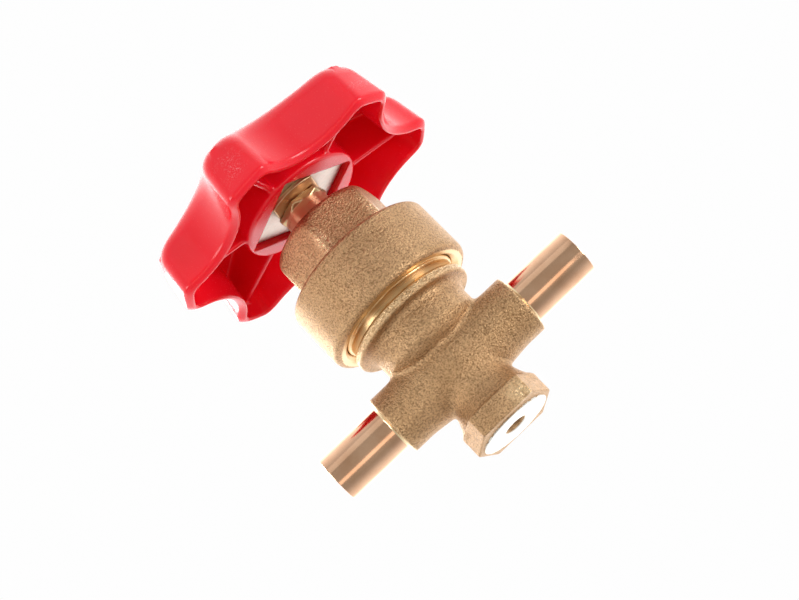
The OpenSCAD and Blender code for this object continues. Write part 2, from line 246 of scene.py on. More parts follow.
def arc(cx, cy, r, start, end, n=6):
    """Points round an arc, for a lathe profile."""
    angles = [math.radians(start + (end - start) * i / n) for i in range(n + 1)]
    return [(cx + r * math.cos(a), cy + r * math.sin(a)) for a in angles]


# ---------------------------------------------------------------- materials

def new_material(name):
    mat = bpy.data.materials.new(name)
    mat.use_nodes = True
    tree = mat.node_tree
    tree.nodes.clear()
    out = tree.nodes.new("ShaderNodeOutputMaterial")
    shader = tree.nodes.new("ShaderNodeBsdfPrincipled")
    tree.links.new(shader.outputs["BSDF"], out.inputs["Surface"])
    place = tree.nodes.new("ShaderNodeTexCoord")
    return mat, tree, shader, place.outputs["Object"]


def noise(tree, place, scale, detail=3.0, rough=0.5, stretch=None):
    node = tree.nodes.new("ShaderNodeTexNoise")
    node.inputs["Scale"].default_value = scale
    node.inputs["Detail"].default_value = detail
    node.inputs["Roughness"].default_value = rough
    if stretch:
        mapping = tree.nodes.new("ShaderNodeMapping")
        mapping.inputs["Scale"].default_value = stretch
        tree.links.new(place, mapping.inputs["Vector"])
        place = mapping.outputs["Vector"]
    tree.links.new(place, node.inputs["Vector"])
    return node.outputs["Fac"]


def remap(tree, value, low, high, to_low, to_high):
    node = tree.nodes.new("ShaderNodeMapRange")
    for key, number in zip(("From Min", "From Max", "To Min", "To Max"), (low, high, to_low, to_high)):
        node.inputs[key].default_value = number
    tree.links.new(value, node.inputs["Value"])
    return node.outputs["Result"]


def ramp(tree, value, stops):
    node = tree.nodes.new("ShaderNodeValToRGB")
    elements = node.color_ramp.elements
    while len(elements) < len(stops):
        elements.new(0.5)
    for element, (position, colour) in zip(elements, stops):
        element.position = position
        element.color = (*colour, 1.0)
    tree.links.new(value, node.inputs["Fac"])
    return node.outputs["Color"]


def mix(tree, fac, a, b, kind="MIX"):
    node = tree.nodes.new("ShaderNodeMix")
    node.data_type = "RGBA"
    node.blend_type = kind
    for socket, value in ((node.inputs[0], fac), (node.inputs[6], a), (node.inputs[7], b)):
        if isinstance(value, bpy.types.NodeSocket):
            tree.links.new(value, socket)
        elif isinstance(value, (int, float)):
            socket.default_value = value
        else:
            socket.default_value = (*value, 1.0)
    return node.outputs[2]


def bump(tree, height, strength, distance, normal=None):
    node = tree.nodes.new("ShaderNodeBump")
    node.inputs["Strength"].default_value = strength
    node.inputs["Distance"].default_value = distance
    tree.links.new(height, node.inputs["Height"])
    if normal is not None:
        tree.links.new(normal, node.inputs["Normal"])
    return node.outputs["Normal"]


def attribute(tree, name):
    node = tree.nodes.new("ShaderNodeAttribute")
    node.attribute_name = name
    return node.outputs["Fac"]


def forged_brass():
    """Shot-blasted forging: fine sparkling grain over slow stains, bright where it is worn."""
    mat, tree, shader, place = new_material("forged_brass_look")
    grain = noise(tree, place, 2300, 2.0, 0.6)
    specks = noise(tree, place, 1300, 3.0, 0.7)
    stain = noise(tree, place, 75, 4.0, 0.6)
    pits = noise(tree, place, 420, 2.0, 0.5)
    tone = ramp(tree, stain, [(0.32, (0.56, 0.345, 0.175)), (0.68, (0.70, 0.45, 0.245))])
    light = ramp(tree, grain, [
        (0.34, (0.36, 0.32, 0.28)), (0.48, (0.76, 0.74, 0.72)), (0.6, (1.0, 1.0, 1.0)),
    ])
    tone = mix(tree, 0.8, tone, light, "MULTIPLY")
    tone = mix(tree, remap(tree, pits, 0.20, 0.16, 0, 0.7), tone, (0.10, 0.06, 0.035))
    worn = mix(tree, 1.0, attribute(tree, "wear"), remap(tree, specks, 0.38, 0.58, 0, 1), "MULTIPLY")
    shader_colour = mix(tree, worn, tone, (0.86, 0.62, 0.36))
    tree.links.new(shader_colour, shader.inputs["Base Color"])
    shader.inputs["Metallic"].default_value = 1.0
    rough = remap(tree, specks, 0.3, 0.7, 0.36, 0.52)
    tree.links.new(mix(tree, worn, rough, (0.22, 0.22, 0.22)), shader.inputs["Roughness"])
    coarse = bump(tree, specks, 0.8, 0.00032)
    tree.links.new(bump(tree, grain, 1.0, 0.0003, coarse), shader.inputs["Normal"])
    return mat


def machined_brass(name, colour, rough, brushed=0.0):
    """Turned brass: fine rings round the axis, which stretch its highlights along the axis."""
    mat, tree, shader, place = new_material(name)
    rings = noise(tree, place, 900, 2.0, 0.5, (0.06, 0.06, 6.0))
    stain = noise(tree, place, 120, 3.0, 0.5)
    dark = tuple(c * 0.82 for c in colour)
    tree.links.new(ramp(tree, stain, [(0.35, dark), (0.7, colour)]), shader.inputs["Base Color"])
    shader.inputs["Metallic"].default_value = 1.0
    tree.links.new(remap(tree, rings, 0.3, 0.7, rough * 0.8, rough * 1.3), shader.inputs["Roughness"])
    shader.inputs["Anisotropic"].default_value = brushed
    shader.inputs["Anisotropic Rotation"].default_value = 0.25
    tree.links.new(bump(tree, rings, 0.12, 0.00004), shader.inputs["Normal"])
    return mat


def drawn_copper():
    """Bright drawn tube: long fine scratches along it, faint tarnish."""
    mat, tree, shader, place = new_material("drawn_copper_look")
    scratch = noise(tree, place, 1500, 2.0, 0.6, (0.03, 1.0, 1.0))
    tarnish = noise(tree, place, 160, 4.0, 0.6)
    tone = ramp(tree, tarnish, [(0.3, (0.70, 0.40, 0.24)), (0.7, (0.82, 0.52, 0.34))])
    tree.links.new(tone, shader.inputs["Base Color"])
    shader.inputs["Metallic"].default_value = 1.0
    tree.links.new(remap(tree, scratch, 0.3, 0.7, 0.1, 0.22), shader.inputs["Roughness"])
    tree.links.new(bump(tree, scratch, 0.1, 0.00003), shader.inputs["Normal"])
    return mat


def red_plastic():
    """Glossy moulded plastic with a little light inside it, and scuffs from handling."""
    mat, tree, shader, place = new_material("red_plastic_look")
    cloud = noise(tree, place, 60, 3.0, 0.5)
    fine = noise(tree, place, 2600, 3.0, 0.7)
    patch = noise(tree, place, 140, 2.0, 0.5)
    tone = ramp(tree, cloud, [(0.3, (0.84, 0.004, 0.016)), (0.7, (0.89, 0.008, 0.026))])
    scuffed = mix(tree, 1.0, attribute(tree, "wear"), remap(tree, patch, 0.42, 0.6, 0, 1), "MULTIPLY")
    flecks = mix(tree, 1.0, scuffed, remap(tree, fine, 0.52, 0.66, 0, 1), "MULTIPLY")
    tree.links.new(mix(tree, flecks, tone, (0.93, 0.20, 0.23)), shader.inputs["Base Color"])
    rough = remap(tree, fine, 0.4, 0.75, 0.20, 0.30)
    tree.links.new(mix(tree, flecks, rough, (0.24, 0.24, 0.24)), shader.inputs["Roughness"])
    shader.inputs["Subsurface Weight"].default_value = 0.5
    shader.inputs["Subsurface Radius"].default_value = (1.0, 0.15, 0.12)
    shader.inputs["Subsurface Scale"].default_value = 0.003
    shader.inputs["IOR"].default_value = 1.5
    waves = bump(tree, noise(tree, place, 150, 2.0, 0.5), 0.04, 0.0003)
    marks = mix(tree, 1.0, scuffed, fine, "MULTIPLY")
    tree.links.new(bump(tree, marks, 0.6, 0.00012, waves), shader.inputs["Normal"])
    return mat


def plated_steel(name, colour, rough):
    """Zinc-plated or bright steel with a mottled bloom."""
    mat, tree, shader, place = new_material(name)
    bloom = noise(tree, place, 900, 4.0, 0.65)
    dull = tuple(c * 0.8 for c in colour)
    tree.links.new(ramp(tree, bloom, [(0.35, dull), (0.65, colour)]), shader.inputs["Base Color"])
    shader.inputs["Metallic"].default_value = 1.0
    tree.links.new(remap(tree, bloom, 0.3, 0.7, rough * 0.8, rough * 1.3), shader.inputs["Roughness"])
    tree.links.new(bump(tree, bloom, 0.2, 0.00005), shader.inputs["Normal"])
    return mat


def soft_part(name, colour, rough):
    """Rubber or nylon: dull, with a fine moulded grain."""
    mat, tree, shader, place = new_material(name)
    grain = noise(tree, place, 1400, 3.0, 0.6)
    pale = tuple(min(1.0, c * 1.25 + 0.01) for c in colour)
    tree.links.new(ramp(tree, grain, [(0.35, colour), (0.7, pale)]), shader.inputs["Base Color"])
    tree.links.new(remap(tree, grain, 0.3, 0.7, rough * 0.85, rough * 1.1), shader.inputs["Roughness"])
    tree.links.new(bump(tree, grain, 0.15, 0.00005), shader.inputs["Normal"])
    return mat


FORGED = forged_brass()
TURNED = machined_brass("turned_brass_look", (0.82, 0.56, 0.29), 0.30, 0.6)
POLISHED = machined_brass("polished_brass_look", (0.84, 0.52, 0.30), 0.34, 0.9)
DULL_BRASS = machined_brass("dull_brass_look", (0.64, 0.48, 0.26), 0.36)
# Near-white metal for the pad under the foot: a painted highlight, the glare of a brightly lit face, not the
# brass's own colour
PAD_PAINTED_GLARE = machined_brass("pad_painted_glare_look", (1.0, 0.97, 0.90), 0.42)
COPPER = drawn_copper()
BRAZE = machined_brass("braze_look", (0.88, 0.70, 0.42), 0.24)
RED = red_plastic()
# Zinc plating: its mottled bloom is its own, and its pinkish tint is partly a painted reflection of the red
# wheel
ZINC_PAINTED_REFLECTION = plated_steel("zinc_painted_red_reflection_look", (0.74, 0.63, 0.56), 0.40)
STEEL = plated_steel("steel_look", (0.58, 0.58, 0.60), 0.28)
RUBBER = soft_part("rubber_look", (0.02, 0.02, 0.022), 0.6)
NYLON = soft_part("nylon_look", (0.72, 0.68, 0.56), 0.5)


def finish_piece(obj, body, slot, materials, *nodes):
    """Gives a piece its materials and body, and hides the CAD nodes it stands for. The slot is not used."""
    obj.data.materials.clear()
    for mat in materials:
        obj.data.materials.append(mat)
    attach(obj, body)
    if nodes:
        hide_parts(*nodes)
    return obj


def paint_faces(obj, index, test):
    """Gives material index to the faces whose centre, in millimetres, passes the test."""
    count = len(obj.data.polygons)
    centres = np.empty(count * 3)
    normals = np.empty(count * 3)
    obj.data.polygons.foreach_get("center", centres)
    obj.data.polygons.foreach_get("normal", normals)
    hit = test(centres.reshape(-1, 3) / MM, normals.reshape(-1, 3))
    current = np.zeros(count, dtype=np.int32)
    obj.data.polygons.foreach_get("material_index", current)
    current[hit] = index
    obj.data.polygons.foreach_set("material_index", current)


def paint_wear(obj, amount):
    """Stores how worn each point is, from amount(x, y, z) in millimetres, for the materials to read."""
    points = np.empty(len(obj.data.vertices) * 3)
    obj.data.vertices.foreach_get("co", points)
    worn = amount(*(points.reshape(-1, 3) / MM).T)
    obj.data.attributes.new("wear", "FLOAT", "POINT").data.foreach_set("value", worn.astype(np.float32))


# ---------------------------------------------------------------- valve body

COLLAR_R, COLLAR_LOW, COLLAR_TOP = 16.8, 34.5, 37.1
BARREL_R, BARREL_LOW = 15.6, 35.5
THREAD_R, THREAD_LOW = 16.3, 39.6
NECK_R, BOWL_R, BOWL_Z, BOWL_DEPTH = 13.4, 13.6, 29.0, 7.0
PAD_R, PAD_TOP = 9.5, 1.0
SOCKET_FLOOR, SOCKET_PLAY = 12.2, 0.05
PORT_R, PORT_END = 4.5, 13.5
CHAMBER_R, CHAMBER_FLOOR, MOUTH_R, MOUTH_FLOOR = 10.3, 29.5, 12.0, 42.0
NOZZLE_R, NOZZLE_TOP, RISER_R = 6.3, 33.0, 4.3
DRAIN_PLACE_R, DRAIN_R = 8.3, 1.7
TAP_R, TAP_DEPTH, COUNTERSINK_R, COUNTERSINK_DEPTH = 2.5, 8.0, 3.2, 1.5


def foot_field(x, y, z):
    shoulder = 7.3
    half_x, half_y = 11.3, 12.1
    outline = polygon_2d(x, y, [
        (shoulder, -half_y), (half_x, 0), (shoulder, half_y),
        (-shoulder, half_y), (-half_x, 0), (-shoulder, -half_y),
    ], 0.45)
    return extrude(outline, z, 0.4, 6.0, 0.35)


def body_field(x, y, z):
    r = np.hypot(x, y)
    # Waist over the foot, flaring down to it and up under the arms
    flare = 8.8 + 1.9 * np.clip((11.0 - z) / 5.0, 0, 1) ** 1.5
    waist = np.maximum(r - flare, slab(z, 5.2, 19.0))
    # Arms, a little thicker towards the middle
    ring = np.hypot(y, z - PORT_Z)
    along = np.abs(x)
    arm_r = ARM_R + 2.0 * np.clip(1 - along / 15.7, 0, 1) ** 1.3
    arms = blend_max(ring - arm_r, along - ARM_END, 0.5)
    # Neck: a barrel with a bowl-shaped lower end
    barrel = np.maximum(r - NECK_R, z - BARREL_LOW)
    bowl = np.hypot(r / BOWL_R, np.minimum(z - BOWL_Z, 0) / BOWL_DEPTH) - 1
    neck = np.maximum(barrel, bowl * 8.0)
    d = blend(waist, arms, 1.3)
    d = blend(d, neck, 1.2)
    d = blend(d, foot_field(x, y, z), 0.9)
    # Collar with soft edges, and the threaded barrel above it
    collar = extrude(r - COLLAR_R, z, COLLAR_LOW, COLLAR_TOP, 0.75)
    d = blend(d, collar, 2.2)
    d = np.minimum(d, extrude(r - BARREL_R, z, BARREL_LOW, RIM_Z, 0.3))
    d = np.minimum(d, extrude(r - THREAD_R, z, THREAD_LOW, RIM_Z, 0.5))
    # Machined pad under the foot
    d = np.minimum(d, extrude(r - PAD_R, z, 0.0, PAD_TOP, 0.08))
    return cut_passages(d, x, y, z, r)


def cut_passages(d, x, y, z, r):
    """The bores, chamber, nozzle and tapped hole, as in the CAD body."""
    ring = np.hypot(y, z - PORT_Z)
    socket = np.maximum(ring - TUBE_R - SOCKET_PLAY, SOCKET_FLOOR - np.abs(x))
    inlet = np.maximum(ring - PORT_R, slab(x, -PORT_END, 0.0))
    outlet = np.maximum(ring - PORT_R, slab(x, 6.4, PORT_END))
    riser = np.maximum(r - RISER_R, PORT_Z - z)
    chamber = np.maximum(r - CHAMBER_R, CHAMBER_FLOOR - z)
    chamber = np.maximum(chamber, -np.maximum(r - NOZZLE_R, z - NOZZLE_TOP))
    mouth = np.maximum(r - MOUTH_R, MOUTH_FLOOR - z)
    tap = np.maximum(r - TAP_R, z - TAP_DEPTH)
    countersink = np.maximum(r - COUNTERSINK_R + np.maximum(z, 0), z - COUNTERSINK_DEPTH)
    for hole in (socket, inlet, outlet, riser, chamber, mouth, tap, countersink):
        d = np.maximum(d, -hole)
    for angle in (-24, 0, 24):
        a = math.radians(angle)
        dx, dy = x - DRAIN_PLACE_R * math.cos(a), y - DRAIN_PLACE_R * math.sin(a)
        drain = np.maximum(np.hypot(dx, dy) - DRAIN_R, slab(z, 19.0, 30.5))
        d = np.maximum(d, -drain)
    return d


body = field_mesh("body_forging", body_field, BODY_LOW, BODY_HIGH, 0.3)
finish_piece(body, "root", "forged_brass", [FORGED, TURNED, PAD_PAINTED_GLARE], "valve_body")
paint_faces(body, 1, lambda c, n: (np.abs(c[:, 0]) > ARM_END - 0.12) | (c[:, 2] > 36.5))
# The pad's faces get the near-white painted-highlight material
paint_faces(body, 2, lambda c, n: (c[:, 2] < 0.25))


def body_wear(x, y, z):
    """Bare bright metal on the foot's corners and front, the collar's edge and the arm ends."""
    foot = np.clip((5.8 - z) / 2.5, 0, 1) * np.clip((-y - 11.2) / 0.6, 0, 1) * np.clip((x - 1.5) / 3, 0, 1)
    collar = np.clip((np.hypot(x, y) - 16.1) / 0.5, 0, 1) * np.clip((z - 34.2) / 1.5, 0, 1)
    ends = np.clip((np.abs(x) - ARM_END + 0.5) / 0.4, 0, 1)
    return np.maximum(np.maximum(foot, collar * 0.8), ends)


paint_wear(body, body_wear)


# ---------------------------------------------------------------- bonnet

HEX_AF, HEX_ROOT, CROWN_R, CROWN_Z, CROWN_HEIGHT = 27.0, 50.0, 17.2, 60.5, 12.5
BORE_R, BORE_TOP, LIP_R, LIP_TOP = 16.45, 49.4, 17.7, 41.0
CAVITY_R, CAVITY_TOP = 12.2, 55.0
STEM_THREAD_R, STEM_THREAD_TOP = 5.58, 64.0
GLAND_R, GLAND_LOW, GLAND_CHAMFER = 6.28, 63.0, 0.35


def bonnet_field(x, y, z):
    r = np.hypot(x, y)
    skirt = blend_max(blend_max(r - SKIRT_R, z - SKIRT_TOP, 1.1), BONNET_LOW[2] - z, 1.9)
    # Hexagon with soft corners under a crown
    crown = np.hypot(r / CROWN_R, np.maximum(z - CROWN_Z, 0) / CROWN_HEIGHT) - 1
    hexagon = blend_max(hexagon_2d(x, y, HEX_AF, 0.9), z - HEX_TOP, 0.8)
    hexagon = blend_max(hexagon, crown * 12, 0.8)
    hexagon = np.maximum(hexagon, HEX_ROOT - z)
    d = blend(skirt, hexagon, 0.35)
    bore = np.maximum(r - BORE_R, z - BORE_TOP)
    lip = np.maximum(r - LIP_R + np.maximum(z - BONNET_LOW[2], 0), z - LIP_TOP)
    cavity = np.maximum(r - CAVITY_R, z - CAVITY_TOP)
    thread = np.maximum(r - STEM_THREAD_R, z - STEM_THREAD_TOP)
    flare = np.clip((z - HEX_TOP + GLAND_CHAMFER) / GLAND_CHAMFER, 0, 1)
    gland = np.maximum(r - GLAND_R - GLAND_CHAMFER * flare, GLAND_LOW - z)
    for hole in (bore, lip, cavity, thread, gland):
        d = np.maximum(d, -hole)
    return d


bonnet = field_mesh("bonnet_forging", bonnet_field, BONNET_LOW, BONNET_HIGH, 0.3)
finish_piece(bonnet, "root", "forged_brass", [FORGED, TURNED], "bonnet")
paint_faces(bonnet, 1, lambda c, n: (c[:, 2] < 41.5) & (np.hypot(c[:, 0], c[:, 1]) < 18.9))


def bonnet_wear(x, y, z):
    """Bright lines along the hexagon's corners, fading out into the crown."""
    corner = np.clip((np.hypot(x, y) - 14.55) / 0.45, 0, 1)
    return corner * np.clip((65 - z) / 5, 0, 1) * np.clip((z - SKIRT_TOP) / 0.2, 0, 1)


paint_wear(bonnet, bonnet_wear)


# ---------------------------------------------------------------- tubes and braze

def tube(name, side, node):
    bore, socket = 4.6, 5.05
    inner, outer = SOCKET_FLOOR, TUBE_HIGH[0]
    profile = [
        (bore, inner), (TUBE_R - 0.1, inner), (TUBE_R, inner + 0.3), (TUBE_R, outer - 0.25),
        (TUBE_R - 0.08, outer - 0.08), (TUBE_R - 0.25, outer), (socket + 0.2, outer), (socket, outer - 0.2),
        (socket, outer - 10), (bore, outer - 10.6),
    ]
    obj = lathe(name, profile, 128, "X")
    if side < 0:
        obj.data.transform(Matrix.Rotation(math.pi, 4, "Z"))
    obj.data.transform(Matrix.Translation((0, 0, PORT_Z * MM)))
    return finish_piece(obj, "root", "copper", [COPPER], node)


tube("outlet_stub", 1, "outlet_tube")
tube("inlet_stub", -1, "inlet_tube")


def braze(name, side, node):
    """A thin uneven fillet round the tube."""
    profile = [(TUBE_R, -0.02), (6.8, -0.02), (6.75, 0.06), (6.35, 0.2), (6.12, 0.5), (TUBE_R, 0.65)]
    obj = lathe(name, profile, 96, "X", math.radians(80))
    for vertex in obj.data.vertices:
        a = math.atan2(vertex.co.y, vertex.co.z)
        swell = 1 + 0.012 * math.sin(3 * a + side) + 0.008 * math.sin(7 * a)
        if math.hypot(vertex.co.y, vertex.co.z) > (TUBE_R + 0.05) * MM:
            vertex.co.y *= swell
            vertex.co.z *= swell
    if side < 0:
        obj.data.transform(Matrix.Rotation(math.pi, 4, "Z"))
    obj.data.transform(Matrix.Translation((side * ARM_END * MM, 0, PORT_Z * MM)))
    return finish_piece(obj, "root", "braze", [BRAZE], node)


braze("outlet_braze", 1, "outlet_braze_ring")
braze("inlet_braze", -1, "inlet_braze_ring")


# ---------------------------------------------------------------- handwheel

WHEEL_PHASE = math.radians(18.5)
LOBES = 6
TIP_R, VALLEY_R, SCALLOP_R = 38.2, 29.5, 17.0
SCALLOP_C = VALLEY_R + SCALLOP_R
WALL, WEB = 2.2, 2.4
DRAFT = 0.12
DOME_R = 134.0
DOME_C = WHEEL_HIGH[2] - DOME_R
WHEEL_BOTTOM = WHEEL_LOW[2]
PLATE_TOP = PLATE_HIGH[2]
HUB_R, HUB_BOTTOM = 16.9, 76.0
POCKET = PLATE_HIGH[0] / math.sqrt(2) + 0.25


def fold(x, y):
    """Turns a point into one sixth of the wheel, with the lobe along +X."""
    a = np.arctan2(y, x) - WHEEL_PHASE
    step = 2 * math.pi / LOBES
    a = a - step * np.round(a / step)
    r = np.hypot(x, y)
    return r * np.cos(a), np.abs(r * np.sin(a))


def lobed(u, v, z, inset, corner):
    """Distance to the wheel's outline: flat arcs at the tips, scallops between, drawn in upwards."""
    sx, sy = SCALLOP_C * math.cos(math.pi / 6), SCALLOP_C * math.sin(math.pi / 6)
    tip = np.hypot(u, v) - (TIP_R - inset)
    scallop = (SCALLOP_R + inset) - np.hypot(u - sx, v - sy)
    return blend_max(tip, scallop, corner) + (z - WHEEL_BOTTOM) * DRAFT


def wheel_field(x, y, z):
    r = np.hypot(x, y)
    u, v = fold(x, y)
    wall = lobed(u, v, z, 0.0, 2.8)
    from_dome = np.hypot(r, z - DOME_C) - DOME_R
    rise = WHEEL_BOTTOM - z
    # A softly rounded band round the rim, above it a faint crease
    band = (wall + rise) * COS_45 + 1.25
    shell = blend_max(blend_max(wall, from_dome, 4.5), blend_max(band, rise, 1.4), 0.3)
    hollow = blend_max(lobed(u, v, z, WALL, 2.4), from_dome + WEB, 1.6)
    cup = blend_max(shell, -hollow, 0.8)
    hub = blend_max(r - HUB_R + (HUB_BOTTOM + 4 - z) * 0.02, HUB_BOTTOM - z, 1.0)
    hub = np.maximum(hub, from_dome + WEB / 2)
    d = blend(cup, hub, 1.2)
    rib = blend_max(v - 0.8, 77.0 - z, 0.7)
    rib = np.maximum(rib, np.maximum(slab(u, HUB_R - 1, 35.9), from_dome + WEB / 2))
    d = blend(d, rib, 0.9)
    # Pocket for the plate, hole for the spigot, recess for the screw, seat for the cap
    a, b = np.abs(x + y) * COS_45, np.abs(x - y) * COS_45
    pocket = np.maximum(blend_max(a, b, 0.8) - POCKET, z - PLATE_TOP - 0.05)
    hole = np.maximum(r - 4.1, z - 82)
    recess = np.maximum(r - 7.5, WASHER_LOW[2] - z)
    seat = np.maximum(r - CAP_HIGH[0] - 0.1, CAP_LOW[2] - z)
    for space in (pocket, hole, recess, seat):
        d = blend_max(d, -space, 0.25)
    return d


wheel = field_mesh("wheel_moulding", wheel_field, WHEEL_LOW, WHEEL_HIGH, 0.4)
finish_piece(wheel, "stem_and_wheel", "red_plastic", [RED], "handwheel")


def lobe_scuffs(x, y, z):
    """Handling wears the middle of each lobe's tip."""
    u, v = fold(x, y)
    inside = np.clip((5.5 - v) / 4, 0, 1) * np.clip((u - 34) / 1.5, 0, 1)
    return inside * np.clip((z - 74.5) / 3, 0, 1) * np.clip((84 - z) / 4, 0, 1)


paint_wear(wheel, lobe_scuffs)


# ---------------------------------------------------------------- stem, drive plate and cap

STEM_HEX_LOW, FLANGE_LOW, FLANGE_TOP = 74.4, 76.3, PLATE_LOW[2]
STEM_HEX_AF, FLANGE_R, FLANGE_HALF = 12.4, 10.6, 6.2
STEM_NECK_R, STEM_CORE_R, NOSE_R, PITCH = 6.2, 4.8, 4.0, 1.5
SQUARE_HALF, SQUARE_TOP, SPIGOT_R, SCREW_HOLE_R, SCREW_DEPTH = 3.95, 79.4, 3.95, 2.52, 7.0


def stem_field(x, y, z):
    r = np.hypot(x, y)
    nose = np.maximum(np.hypot(r, z - STEM_LOW[2] - NOSE_R) - NOSE_R, z - 57)
    turn = np.abs(((z - 57.1) / PITCH) % 1 - 0.5)
    thread = np.maximum(r - STEM_CORE_R - np.clip(1.9 - 5 * turn, 0, 0.7), slab(z, 56.8, 65.9))
    neck = blend_max(r - STEM_NECK_R, slab(z, 65.4, 75.0), 0.3)
    groove = np.maximum(5.02 - r, slab(z, 66.38, 67.82))
    hexagon = blend_max(hexagon_2d(x, y, STEM_HEX_AF, 0.5), slab(z, STEM_HEX_LOW, FLANGE_LOW + 0.2), 0.25)
    hexagon = blend_max(hexagon, (r - STEM_NECK_R - (z - STEM_HEX_LOW)) * COS_45, 0.25)
    relief = np.maximum(5.9 - r, slab(z, FLANGE_LOW - 0.2, FLANGE_LOW + 0.05))
    hexagon = np.maximum(hexagon, -relief)
    flange = blend_max(r - FLANGE_R, np.abs(x) - FLANGE_HALF, 0.5)
    flange = blend_max(flange, slab(z, FLANGE_LOW, FLANGE_TOP), 0.3)
    square = np.maximum(box_2d(x, y, SQUARE_HALF, SQUARE_HALF, 0.4), slab(z, 77, SQUARE_TOP))
    spigot = blend_max(r - SPIGOT_R, slab(z, 77, STEM_HIGH[2]), 0.4)
    d = np.maximum(neck, -groove)
    for part in (nose, thread, hexagon, flange, square, spigot):
        d = np.minimum(d, part)
    return np.maximum(d, -np.maximum(r - SCREW_HOLE_R, STEM_HIGH[2] - SCREW_DEPTH - z))


stem = field_mesh("stem_turned", stem_field, STEM_LOW, STEM_HIGH, 0.2)
finish_piece(stem, "stem_and_wheel", "machined_brass", [POLISHED, DULL_BRASS], "stem")
paint_faces(stem, 1, lambda c, n: (c[:, 2] > STEM_HEX_LOW + 0.1) & (np.abs(n[:, 2]) < 0.99))


def plate_field(x, y, z):
    half = PLATE_HIGH[0] / math.sqrt(2)
    a, b = (x + y) * COS_45, (x - y) * COS_45
    # Soft punched edges, and a square hole for the stem
    d = blend_max(box_2d(a, b, half, half, 0.25), slab(z, PLATE_LOW[2], PLATE_HIGH[2]), 0.3)
    return np.maximum(d, -box_2d(x, y, 4.0, 4.0, 0.3))


plate = field_mesh("drive_plate_punched", plate_field, PLATE_LOW, PLATE_HIGH, 0.25)
# The plate's zinc carries the pinkish painted reflection of the wheel
finish_piece(plate, "stem_and_wheel", "zinc_steel", [ZINC_PAINTED_REFLECTION], "drive_plate")

cap_edge = math.sqrt(DOME_R ** 2 - CAP_HIGH[0] ** 2) + DOME_C - 0.1
cap_r = CAP_HIGH[0]
cap = lathe("wheel_cap_disc", [
    (0, CAP_LOW[2]), (cap_r - 0.1, CAP_LOW[2]), (cap_r, CAP_LOW[2] + 0.1), (cap_r, cap_edge - 0.35),
    (cap_r - 0.12, cap_edge - 0.1), (cap_r - 0.4, cap_edge),
    # A shallow ring groove round the cap's middle
    (7.6, cap_edge + 0.05), (7.3, cap_edge - 0.15), (6.9, cap_edge - 0.15), (6.6, cap_edge + 0.1),
    (3.5, CAP_HIGH[2] - 0.05), (0, CAP_HIGH[2]),
], 128)
finish_piece(cap, "stem_and_wheel", "red_plastic", [RED], "wheel_cap")


# ---------------------------------------------------------------- spring and diaphragms

def spring():
    """Round wire with its ends laid flat, four and a half turns."""
    wire, middle, turns, per_turn, sides = 0.55, 8.3, 4.5, 40, 14
    low, high = SPRING_LOW[2] + wire, SPRING_HIGH[2] - wire
    count = int(turns * per_turn)
    points, quads = [], []
    for i in range(count + 1):
        a = 2 * math.pi * i / per_turn
        part = min(max((i / count - 0.08) / 0.84, 0), 1)
        rise = low + (high - low) * (0.04 * i / count + 0.96 * part)
        end = min(i, count - i)
        radius = wire * (1.0 if end > 1 else (0.55, 0.9)[end])
        for j in range(sides):
            b = 2 * math.pi * j / sides
            r = middle + radius * math.cos(b)
            points.append((r * math.cos(a), r * math.sin(a), rise + radius * math.sin(b)))
    for i in range(count):
        for j in range(sides):
            k = (j + 1) % sides
            quads.append((i * sides + j, (i + 1) * sides + j, (i + 1) * sides + k, i * sides + k))
    for ring in (0, count):
        first = ring * sides
        for j in range(sides // 2 - 1):
            face = (first + j, first + j + 1, first + sides - 2 - j, first + sides - 1 - j)
            quads.append(face if ring == 0 else face[::-1])
    return quad_mesh("spring_coil", np.array(points), quads)


coil = finish_piece(spring(), "root", "spring_steel", [STEEL], "return_spring")
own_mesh(coil)

for level in ("lower", "middle", "upper"):
    node = "diaphragm_" + level
    low, high = node_box(node)
    foot, top, thick = low[2], high[2], 0.28
    rise = top - foot - thick
    wave = [(11.6 - 6.6 * i / 12, foot + rise * (0.5 - 0.5 * math.cos(math.pi * i / 12))) for i in range(13)]
    upper = [(r + 0.05, z + thick) for r, z in wave]
    disc_mesh = lathe("diaphragm_sheet_" + level, [(0, top - thick)] + wave[::-1] + [
        (high[0] - 0.05, foot), (high[0], foot + thick / 2), (high[0] - 0.05, foot + thick),
    ] + upper + [(0, top)], 128)
    finish_piece(disc_mesh, "root", "spring_steel", [STEEL], node)
    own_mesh(disc_mesh)


# ---------------------------------------------------------------- other CAD nodes keep their shape

# The washer and screw share the zinc with its pinkish painted reflection
CARRIED = {
    "slip_ring": STEEL, "thrust_pad": TURNED, "stem_seal": RUBBER, "wheel_washer": ZINC_PAINTED_REFLECTION,
    "wheel_screw": ZINC_PAINTED_REFLECTION, "valve_plug": TURNED, "seat_disc": NYLON, "disc_retainer": TURNED,
}
for node, mat in CARRIED.items():
    obj = frame["nodes"][node]
    for holder in [obj, *obj.children]:
        if holder.type == "MESH":
            for slot in holder.material_slots:
                slot.material = mat


# ---------------------------------------------------------------- floor, light, camera

